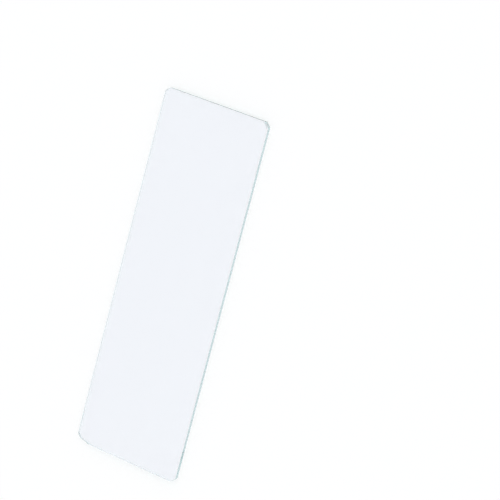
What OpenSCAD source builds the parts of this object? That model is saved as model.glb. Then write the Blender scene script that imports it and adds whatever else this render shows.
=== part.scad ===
// Plain glass microscope slide with 45 degree clipped corners and ground edges.
// One plate of float glass. The origin is at the centre of the underside, +X runs along
// the length, +Y across the width and +Z up out of the specimen face. Millimetres.

/* [Glass plate] */
// Length of the plate, between the two short end edges
plate_length = 76.2; // [60:0.1:90]
// Width of the plate, between the two long edges
plate_width = 25.4; // [20:0.1:50]
// Thickness of the glass
glass_thickness = 1.1; // [0.8:0.05:1.5]

/* [Corner clips] */
// Legs of the 45 degree clips at the back right, back left, front left and front right
clip_legs = [0.9, 1.4, 1.0, 1.0]; // [0.5:0.1:4]
// Where the back left clip's heel, a second and shallower facet, runs out along the left end
heel_run = 3.3; // [1.5:0.1:8]
// Angle between that heel and the left end
heel_angle = 13; // [5:1:30]

/* [Ground edges] */
// Leg of the 45 degree arris ground along every rim of the two faces
arris_leg = 0.12; // [0.02:0.01:0.3]

/* [Hidden] */

half_length = plate_length / 2;
half_width = plate_width / 2;
// Distance of the heel from the plate's middle: it passes through the point of the left end
// that lies heel_run in from the back long edge
heel_reach = half_length * cos(heel_angle) + (half_width - heel_run) * sin(heel_angle);
// Every ground side of the plate: the direction it faces, turned anticlockwise from +X, and
// its distance from the plate's middle
sides = [
  [0, half_length],
  [45, clip_reach(clip_legs[0])],
  [90, half_width],
  [135, clip_reach(clip_legs[1])],
  [180 - heel_angle, heel_reach],
  [180, half_length],
  [225, clip_reach(clip_legs[2])],
  [270, half_width],
  [315, clip_reach(clip_legs[3])]
];
// How far a ground side's slab reaches behind it and to its left and right, well past the plate
slab_reach = 1.5 * plate_length;

// Distance of a 45 degree clip from the plate's middle, for the leg it has along the edges
function clip_reach(leg) = (half_length + half_width - leg) / sqrt(2);

// Upright section through a side that lies reach from the middle: the side is the upright
// line at the right, and its two rims are taken off at 45 degrees
module side_section(reach) {
  inner = reach - arris_leg;
  top = glass_thickness;
  polygon([
    [-slab_reach, 0],
    [inner, 0],
    [reach, arris_leg],
    [reach, top - arris_leg],
    [inner, top],
    [-slab_reach, top]
  ]);
}

// Slab as thick as the glass, with one ground side, which faces the way given by turn
module ground_slab(turn, reach) {
  rotate([0, 0, turn])
    rotate([90, 0, 0])
      linear_extrude(height = 2 * slab_reach, center = true)
        side_section(reach);
}

// The plate is what the slabs of all its ground sides have in common
module slide() {
  color([0.80, 0.93, 0.92, 0.6])
    intersection_for(side = sides)
      ground_slab(side[0], side[1]);
}

slide();
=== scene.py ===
import math

import bpy
import numpy as np
from mathutils import Matrix, Vector


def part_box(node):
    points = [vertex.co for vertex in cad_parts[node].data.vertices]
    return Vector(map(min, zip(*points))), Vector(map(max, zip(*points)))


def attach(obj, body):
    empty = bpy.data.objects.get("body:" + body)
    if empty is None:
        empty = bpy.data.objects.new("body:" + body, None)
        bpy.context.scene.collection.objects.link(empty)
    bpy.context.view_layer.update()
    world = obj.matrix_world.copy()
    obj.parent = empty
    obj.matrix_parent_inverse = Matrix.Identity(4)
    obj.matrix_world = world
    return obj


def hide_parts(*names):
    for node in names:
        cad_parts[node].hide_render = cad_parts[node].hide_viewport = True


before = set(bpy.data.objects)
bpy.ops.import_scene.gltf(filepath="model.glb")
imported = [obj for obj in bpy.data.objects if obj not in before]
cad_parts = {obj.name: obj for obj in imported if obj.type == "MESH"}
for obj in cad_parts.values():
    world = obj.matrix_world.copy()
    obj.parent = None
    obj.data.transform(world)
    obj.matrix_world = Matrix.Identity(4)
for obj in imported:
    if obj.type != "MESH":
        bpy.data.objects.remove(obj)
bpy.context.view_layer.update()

mm = 0.001
print("frame loaded:", sorted(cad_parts))


def newMaterial(name):
    material = bpy.data.materials.new(name)
    material.use_nodes = True
    material.node_tree.nodes.clear()
    return material, material.node_tree


def addNode(tree, kind, label="", **sockets):
    node = tree.nodes.new(kind)
    node.label = label
    for key, value in sockets.items():
        node.inputs[key.replace("_", " ")].default_value = value
    return node


# The plugs of a node that are in use: a Mix node has a set of them for each kind of data.
def plugsOf(plugs):
    return [plug for plug in plugs if plug.enabled]


# Goes from one value to the other with a mask from 0 to 1. A value is a colour or an output.
def mixBy(tree, mask, low, high, kind):
    node = tree.nodes.new("ShaderNodeMix")
    node.data_type = kind
    factor, first, second = plugsOf(node.inputs)
    tree.links.new(mask, factor)
    for plug, value in ((first, low), (second, high)):
        if isinstance(value, tuple):
            plug.default_value = value
        else:
            tree.links.new(value, plug)
    return plugsOf(node.outputs)[0]


# The value of a sum, product or the like of two numbers, each a number or an output.
def maths(tree, operation, first, second):
    node = tree.nodes.new("ShaderNodeMath")
    node.operation = operation
    for plug, value in zip(node.inputs, (first, second)):
        if isinstance(value, float):
            plug.default_value = value
        else:
            tree.links.new(value, plug)
    return node.outputs["Value"]


# Spreads a value that lies between the source limits from one target limit to the other.
def spreadOver(tree, value, label, source, target=(0.0, 1.0), smooth=False):
    node = addNode(tree, "ShaderNodeMapRange", label, From_Min=source[0], From_Max=source[1],
                   To_Min=target[0], To_Max=target[1])
    node.interpolation_type = "SMOOTHSTEP" if smooth else "LINEAR"
    tree.links.new(value, node.inputs["Value"])
    return node.outputs["Result"]


def meshObject(name, points, triangles, material):
    mesh = bpy.data.meshes.new(name)
    mesh.from_pydata(points.tolist(), [], triangles.tolist())
    mesh.materials.append(material)
    thing = bpy.data.objects.new(name, mesh)
    bpy.context.scene.collection.objects.link(thing)
    return thing


viewSpec = {
    "aim": (12.78 * mm, -15.63 * mm, 0.55 * mm),   # the point that the camera looks at
    "azimuth": 22.37,      # degrees round the slide, 0 looks along +Y
    "elevation": 58.32,    # degrees above the floor
    "roll": -94.42,        # degrees, so that the slide stands nearly upright in the view
    "distance": 495.0 * mm,
    "lens": 180.0,         # millimetres, like the sensor's width
    "sensor": 36.0,
    "reach": (0.01, 20.0),   # the nearest and furthest distance that the camera sees
}


def makeCamera(spec):
    azimuth, elevation = math.radians(spec["azimuth"]), math.radians(spec["elevation"])
    back = Vector((math.sin(azimuth) * math.cos(elevation),
                   -math.cos(azimuth) * math.cos(elevation),
                   math.sin(elevation)))
    turn = (-back).to_track_quat("-Z", "Y").to_matrix().to_4x4()
    data = bpy.data.cameras.new("camera")
    data.lens = spec["lens"]
    data.sensor_width = spec["sensor"]
    data.clip_start, data.clip_end = spec["reach"]
    camera = bpy.data.objects.new("camera", data)
    camera.matrix_world = (Matrix.Translation(Vector(spec["aim"]) + back * spec["distance"])
                           @ turn @ Matrix.Rotation(math.radians(spec["roll"]), 4, "Z"))
    bpy.context.scene.collection.objects.link(camera)
    bpy.context.scene.camera = camera


makeCamera(viewSpec)
print("camera placed")


slideSpec = {
    # at the back right, back left, front left and front right corner, in this order:
    "clipLegs": (0.9 * mm, 1.4 * mm, 1.0 * mm, 1.0 * mm),   # leg of the 45 degree clip
    "clipEase": (0.35 * mm, 0.9 * mm, 0.7 * mm, 0.35 * mm),   # radius where it meets an edge
    "clipGrind": (1.0, 1.0, 0.0, 1.0),   # how coarse: 0 as fine as the edges, 1 frosted
    "heelRun": 3.3 * mm,      # the back left clip's shallow heel ends here on the left end
    "heelAngle": 13.0,        # degrees between that heel and the left end
    # leg of the 45 degree arris ground along the upper and the lower rim
    "longArris": (0.25 * mm, 0.12 * mm),      # of a long edge and the right end
    "leftArris": (0.06 * mm, 0.012 * mm),     # of the left end
    "clipArris": (0.24 * mm, 0.03 * mm),      # of a clip
    "arrisBlend": 0.8 * mm,   # length over which one leg runs into the next
    "arrisEase": 0.010 * mm,  # radius where an arris meets a face or an edge
    "easePoints": 4,          # points on each such radius
    "arrisWander": 0.10,      # how far those legs stray along the rim, as a share of them
    "wanderWaves": 40,        # waves of that straying once round the rim
    "waveSizes": (0.4, 1.0),  # the least and the most of each, before they fall
    "waveFall": 0.35,         # how fast the shorter waves grow smaller
    "rimStep": 0.3 * mm,      # spacing of points along the straight edges
    "clipStep": 5.0,          # degrees between points on an eased corner
    "faceShares": (0.02, 0.15, 0.5, 1.0),   # rings of a face, as shares of the way to its middle
    "seed": 11,
}


# The plate's nine sides, anticlockwise: which way each faces, in radians from +X, its
# distance from the middle, the radius that eases it into the next side, and its traits: how
# coarse a clip it is, and the legs of its arrises. A clip of leg c lies at
# (halfLength + halfWidth - c) / sqrt(2), and the heel passes through the left end's point
# that is heelRun in from the back edge.
def plateSides(spec, halfLength, halfWidth):
    clips = (halfLength + halfWidth - np.array(spec["clipLegs"])) / math.sqrt(2)
    heel = math.radians(spec["heelAngle"])
    heelReach = halfLength * math.cos(heel) + (halfWidth - spec["heelRun"]) * math.sin(heel)
    facing = np.radians([0, 45, 90, 135, 180 - spec["heelAngle"], 180, 225, 270, 315])
    reach = np.array([halfLength, clips[0], halfWidth, clips[1], heelReach,
                      halfLength, clips[2], halfWidth, clips[3]])
    ease = np.repeat(spec["clipEase"], (2, 3, 2, 2))
    left, long = (0.0, *spec["leftArris"]), (0.0, *spec["longArris"])
    clip = [(grind, *spec["clipArris"]) for grind in spec["clipGrind"]]
    traits = np.array([long, clip[0], long, clip[1], clip[1], left, clip[2], long, clip[3]])
    return facing, reach, ease, traits


def outward(angle):
    return np.stack([np.cos(angle), np.sin(angle)], -1)


# Points, normals and traits along the plate's outline, anticlockwise: an arc of radius ease
# round each corner's centre, then the straight side to the next arc. With n the sides' normals,
# the centre solves n[k].c = reach[k] - ease and n[k+1].c = reach[k+1] - ease.
def roundedOutline(spec, halfLength, halfWidth):
    facing, reach, ease, sideTraits = plateSides(spec, halfLength, halfWidth)
    turn = np.roll(facing, -1) - facing
    turn[-1] += 2 * math.pi
    nextFacing = facing + turn
    here, there = reach - ease, np.roll(reach, -1) - ease
    centres = np.stack([
        here * np.sin(nextFacing) - there * np.sin(facing),
        there * np.cos(facing) - here * np.cos(nextFacing),
    ], 1) / np.sin(turn)[:, None]

    points, angles, traits = [], [], []
    for k in range(len(facing)):
        arcPoints = 1 + math.ceil(math.degrees(turn[k]) / spec["clipStep"])
        arc = np.linspace(facing[k], nextFacing[k], arcPoints)
        corner = centres[k] + ease[k] * outward(arc)
        after = (k + 1) % len(facing)
        end = centres[after] + ease[after] * outward(nextFacing[k])
        run = end - corner[-1]
        steps = max(2, round(float(np.linalg.norm(run)) / spec["rimStep"]))
        share = np.linspace(0, 1, steps + 1)[1:-1, None]
        points += [corner, corner[-1] + run * share]
        angles += [arc, np.full(steps - 1, nextFacing[k])]
        traits += [np.linspace(sideTraits[k], sideTraits[after], arcPoints),
                   np.tile(sideTraits[after], (steps - 1, 1))]
    return np.concatenate(points), outward(np.concatenate(angles)), np.concatenate(traits)


# Values along a closed outline, each averaged with its neighbours by the weight
# exp(-(distance / blend) ** 2), where distance is measured along the outline.
def blendAlong(outline, values, blend):
    step = np.linalg.norm(outline - np.roll(outline, 1, 0), axis=1)
    along = np.cumsum(step)
    apart = np.abs(along[:, None] - along)
    apart = np.minimum(apart, along[-1] - apart)
    weight = np.exp(-(apart / blend) ** 2) * (step + np.roll(step, -1))
    return weight @ values / weight.sum(1, keepdims=True)


# A smooth closed random line along an outline: the sum of sines of 1..waves turns, with
# random phases and amplitudes that fall as turns ** -waveFall, scaled to lie within -1..1.
def wander(spec, rng, outline):
    waves = spec["wanderWaves"]
    steps = np.linalg.norm(outline - np.roll(outline, 1, 0), axis=1)
    along = 2 * math.pi * np.cumsum(steps) / steps.sum()
    turns = np.arange(1, waves + 1)
    phase = rng.uniform(0, 2 * math.pi, waves)
    size = rng.uniform(*spec["waveSizes"], waves) * turns ** -spec["waveFall"]
    line = (np.sin(along[:, None] * turns + phase) * size).sum(1)
    return line / np.abs(line).max()


# The rings of one ground rim, from the face at height 0 outwards and down: a 45 degree
# arris of this leg, met by an arc of radius ease at the face and another at the edge. With
# the slope of the surface's normal falling from 90 to 45 to 0 degrees, a ring of the first
# arc is leg + bend - ease * cos(slope) in from the edge and ease * (1 - sin(slope)) down,
# and one of the second is ease * (1 - cos(slope)) in and leg + bend - ease * sin(slope)
# down, where bend = ease * tan(22.5 degrees).
def groundRim(leg, ease, easePoints):
    upper = np.radians(np.linspace(90, 45, easePoints))[:, None]
    lower = np.radians(np.linspace(45, 0, easePoints))[:, None]
    bend = ease * math.tan(math.pi / 8)
    inset = np.concatenate([leg + bend - ease * np.cos(upper),
                            ease * (1 - np.cos(lower)) + 0 * leg])
    drop = np.concatenate([ease * (1 - np.sin(upper)) + 0 * leg,
                           leg + bend - ease * np.sin(lower)])
    return inset, drop, np.concatenate([upper, lower])


# The closed plate as a grid of rings: the upper face, the upper rim, the lower rim upside
# down and the lower face. A ring of a face is its rim's first ring times 1 - share, and
# the last one is a point.
def plateSurface(spec, low, high):
    rng = np.random.default_rng(spec["seed"])
    thick = high.z - low.z
    halfLength, halfWidth = (high.x - low.x) / 2, (high.y - low.y) / 2
    outline, normals, traits = roundedOutline(spec, halfLength, halfWidth)
    count = len(outline)
    clips, legs = traits[:, 0], blendAlong(outline, traits[:, 1:], spec["arrisBlend"]).T
    legs = [leg * (1 + spec["arrisWander"] * wander(spec, rng, outline)) for leg in legs]
    (inset, drop, slope), (lowerInset, rise, lowerSlope) = [
        groundRim(leg, spec["arrisEase"], spec["easePoints"]) for leg in legs]
    inset = np.concatenate([inset, lowerInset[::-1]])
    height = np.concatenate([thick - drop, rise[::-1]])
    slope = np.concatenate([slope, -lowerSlope[::-1]])
    edge = np.dstack([outline - inset[..., None] * normals, height])
    edgeNormals = np.dstack([np.cos(slope)[..., None] * normals,
                             np.broadcast_to(np.sin(slope), height.shape)])

    keep = (1 - np.array(spec["faceShares"]))[:, None, None] * np.array([1.0, 1.0, 0.0])
    keep[..., 2] = 1.0
    top, bottom = (edge[0] * keep)[::-1], edge[-1] * keep
    rings = np.concatenate([top, edge, bottom])
    ringNormals = np.concatenate([np.broadcast_to(edgeNormals[0], top.shape), edgeNormals,
                                  np.broadcast_to(edgeNormals[-1], bottom.shape)])

    # how much each ring is ground: nothing on a face, and coarsest on an arris
    coarse = np.abs(np.sin(2 * slope[:, 0]))
    ground = np.ones(len(slope))
    ground[[0, -1]] = 0.0
    bare = np.zeros(len(spec["faceShares"]))
    ground = np.concatenate([bare, ground, bare])[:, None] * np.ones(count)
    coarse = np.concatenate([bare, coarse, bare])[:, None] * np.ones(count)
    masks = np.stack([ground, coarse, ground * clips], -1).reshape(-1, 3)

    row = np.arange(len(rings) - 1)[:, None] * count
    column = np.arange(count)
    a, b = (row + column).ravel(), (row + (column + 1) % count).ravel()
    c, d = b + count, a + count
    triangles = np.concatenate([np.column_stack([a, d, c]), np.column_stack([a, c, b])])
    middle = np.array([(low.x + high.x) / 2, (low.y + high.y) / 2, low.z])
    return weld(rings.reshape(-1, 3) + middle, triangles, ringNormals.reshape(-1, 3), masks)


# Joins points that share a place on a very fine grid, and drops the triangles that this
# closes up.
def weld(points, triangles, normals, masks):
    gridStep = 0.0001 * mm
    places = np.round(points / gridStep).astype(np.int64)
    _, first, inverse = np.unique(places, axis=0, return_index=True, return_inverse=True)
    triangles = inverse.ravel()[triangles]
    a, b, c = triangles.T
    triangles = triangles[(a != b) & (b != c) & (c != a)]
    return points[first], triangles, normals[first], masks[first]


# 1 where the plate is ground at all, on an arris, and on a frosted clip
maskNames = ("groundEdge", "groundArris", "groundClip")

glassSpec = {
    "ior": 1.52,
    "depthColour": (0.34, 0.80, 0.79, 1.0),   # 1 - colour, times depthDensity, is the loss a metre
    "depthDensity": 20.0,
    # what one pass through each kind of surface lets by
    "faceTint": (0.935, 0.942, 0.974, 1.0),
    "edgeTint": (1.000, 0.870, 0.880, 1.0),
    "arrisTint": (0.93, 0.91, 0.925, 1.0),
    "clipTint": (1.00, 0.92, 0.92, 1.0),
    # the least and the most roughness of each
    "faceRoughness": (0.02, 0.05),
    "edgeRoughness": (0.12, 0.20),
    "clipRoughness": (0.75, 0.95),
    "filmScale": (55.0, 55.0, 55.0),          # patches in a metre of the film a wipe leaves
    "filmDetail": 5.0,
    "grindScale": (350.0, 350.0, 9000.0),     # marks in a metre along, across and up an edge
    "grindDetail": 4.0,
    "noiseRoughness": 0.6,                    # how strongly the finest patches and marks show
    "noiseSpread": (0.3, 0.7),                # where most of a noise lies
    "grindDepth": 0.002 * mm,
}


# Noise with this many patches in a metre along X, Y and Z, from 0 to 1.
def noiseOf(tree, label, scale, detail, roughness):
    place = addNode(tree, "ShaderNodeTexCoord")
    spread = addNode(tree, "ShaderNodeMapping", Scale=scale)
    noise = addNode(tree, "ShaderNodeTexNoise", label, Scale=1.0, Detail=detail,
                    Roughness=roughness)
    tree.links.new(place.outputs["Object"], spread.inputs["Vector"])
    tree.links.new(spread.outputs["Vector"], noise.inputs["Vector"])
    return noise.outputs["Fac"]


def maskOf(tree, name):
    mask = addNode(tree, "ShaderNodeAttribute", name)
    mask.attribute_name = name
    return mask.outputs["Fac"]


# One Principled surface for the whole plate, polished or ground by its masks, round a
# volume that takes out red.
def glassMaterial(spec):
    material, tree = newMaterial("clearGlass")
    link = tree.links.new
    out = addNode(tree, "ShaderNodeOutputMaterial")
    glass = addNode(tree, "ShaderNodeBsdfPrincipled", "glass", IOR=spec["ior"],
                    Transmission_Weight=1.0)
    depth = addNode(tree, "ShaderNodeVolumeAbsorption", "green of the glass's depth",
                    Color=spec["depthColour"], Density=spec["depthDensity"])
    edge, arris, clip = [maskOf(tree, name) for name in maskNames]

    tint = mixBy(tree, edge, spec["faceTint"], spec["edgeTint"], "RGBA")
    tint = mixBy(tree, clip, tint, spec["clipTint"], "RGBA")
    tint = mixBy(tree, arris, tint, spec["arrisTint"], "RGBA")
    link(tint, glass.inputs["Base Color"])

    # a wiped face keeps a faint film, and the wheel's marks run along the edges
    roughness = spec["noiseRoughness"]
    film = noiseOf(tree, "wiped film", spec["filmScale"], spec["filmDetail"], roughness)
    marks = noiseOf(tree, "grinding marks", spec["grindScale"], spec["grindDetail"], roughness)
    face, ground, clipped = [
        spreadOver(tree, noise, label, spec["noiseSpread"], spec[label])
        for noise, label in ((film, "faceRoughness"), (marks, "edgeRoughness"),
                             (marks, "clipRoughness"))]
    rough = mixBy(tree, edge, face, ground, "FLOAT")
    rough = mixBy(tree, clip, rough, clipped, "FLOAT")
    link(rough, glass.inputs["Roughness"])

    bump = addNode(tree, "ShaderNodeBump", "ground surface", Strength=1.0,
                   Distance=spec["grindDepth"])
    link(maths(tree, "MULTIPLY", marks, edge), bump.inputs["Height"])
    link(bump.outputs["Normal"], glass.inputs["Normal"])

    link(glass.outputs["BSDF"], out.inputs["Surface"])
    link(depth.outputs["Volume"], out.inputs["Volume"])
    return material


def makeSlide(spec, material):
    points, triangles, normals, masks = plateSurface(spec, *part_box("slide"))
    slide = meshObject("glass_slide", points, triangles, material)
    slide.data.shade_smooth()
    slide.data.normals_split_custom_set_from_vertices(normals.tolist())
    for name, values in zip(maskNames, masks.T):
        mask = slide.data.attributes.new(name, "FLOAT", "POINT")
        mask.data.foreach_set("value", values.astype(np.float32))
    return slide


slide = makeSlide(slideSpec, glassMaterial(glassSpec))
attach(slide, "root")
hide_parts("slide")
print("slide made:", len(slide.data.polygons), "triangles")


studioSpec = {
    "floorColour": (0.35, 0.35, 0.35, 1.0),   # the part of the floor's white that takes shadows
    "floorGlow": 0.665,        # the part that a camera, glossy or transmission ray always sees
    "floorReach": 6.0,         # metres from the middle of the square floor to its sides
    "floorGap": 0.05 * mm,     # thin air gap under a plate that rests on three points
    "keySide": (0.39, -0.92, 0.0),   # the side that the soft light comes from
    "keySpread": (-0.8, 0.8),  # cosines from that side where dim has ended and bright begins
    "bright": (1.06, 1.06, 1.06, 1.0),
    "dim": (0.83, 0.85, 0.88, 1.0),
    "horizon": (1.0, 1.0, 1.0, 1.0),
    "horizonTop": (0.10, 0.45),   # sines of the heights where the horizon's white ends
}


# White paper whose light is partly its own, so that the plate's shadow stays faint.
def makeFloor(spec):
    material, tree = newMaterial("floorPaper")
    link = tree.links.new
    out = addNode(tree, "ShaderNodeOutputMaterial")
    paper = addNode(tree, "ShaderNodeBsdfDiffuse", Color=spec["floorColour"])
    glow = addNode(tree, "ShaderNodeEmission", Color=(1.0, 1.0, 1.0, 1.0))
    both = tree.nodes.new("ShaderNodeAddShader")
    path = addNode(tree, "ShaderNodeLightPath").outputs
    seen = maths(tree, "MAXIMUM", path["Is Camera Ray"], path["Is Glossy Ray"])
    seen = maths(tree, "MAXIMUM", seen, path["Is Transmission Ray"])
    link(maths(tree, "MULTIPLY", seen, spec["floorGlow"]), glow.inputs["Strength"])
    link(paper.outputs["BSDF"], both.inputs[0])
    link(glow.outputs["Emission"], both.inputs[1])
    link(both.outputs["Shader"], out.inputs["Surface"])

    reach, level = spec["floorReach"], -spec["floorGap"]
    points = np.array([[-reach, -reach, level], [reach, -reach, level],
                       [reach, reach, level], [-reach, reach, level]])
    meshObject("floor", points, np.array([[0, 1, 2], [0, 2, 3]]), material)


# A pale room: bright on the key side, dim opposite, and white all round near the floor.
def makeWorld(spec):
    world = bpy.data.worlds.new("softStudio")
    bpy.context.scene.world = world
    world.use_nodes = True
    tree = world.node_tree
    tree.nodes.clear()
    link = tree.links.new
    out = addNode(tree, "ShaderNodeOutputWorld")
    light = addNode(tree, "ShaderNodeBackground", Strength=1.0)
    place = addNode(tree, "ShaderNodeTexCoord")
    side = addNode(tree, "ShaderNodeVectorMath", "which side of the room")
    side.operation = "DOT_PRODUCT"
    side.inputs[1].default_value = spec["keySide"]
    link(place.outputs["Generated"], side.inputs[0])
    height = addNode(tree, "ShaderNodeSeparateXYZ")
    link(place.outputs["Generated"], height.inputs["Vector"])

    key = spreadOver(tree, side.outputs["Value"], "key side", spec["keySpread"], smooth=True)
    rise = spreadOver(tree, height.outputs["Z"], "above the horizon", spec["horizonTop"],
                      smooth=True)
    room = mixBy(tree, key, spec["dim"], spec["bright"], "RGBA")
    room = mixBy(tree, rise, spec["horizon"], room, "RGBA")
    link(room, light.inputs["Color"])
    link(light.outputs["Background"], out.inputs["Surface"])


makeFloor(studioSpec)
makeWorld(studioSpec)

scene = bpy.context.scene
scene.view_settings.view_transform = "Standard"
# light that runs along inside the plate is turned back at its faces a score of times
bounces = 64
scene.cycles.blur_glossy = 0.0
scene.cycles.max_bounces = bounces
scene.cycles.glossy_bounces = bounces
scene.cycles.transmission_bounces = bounces
print("floor and light set")
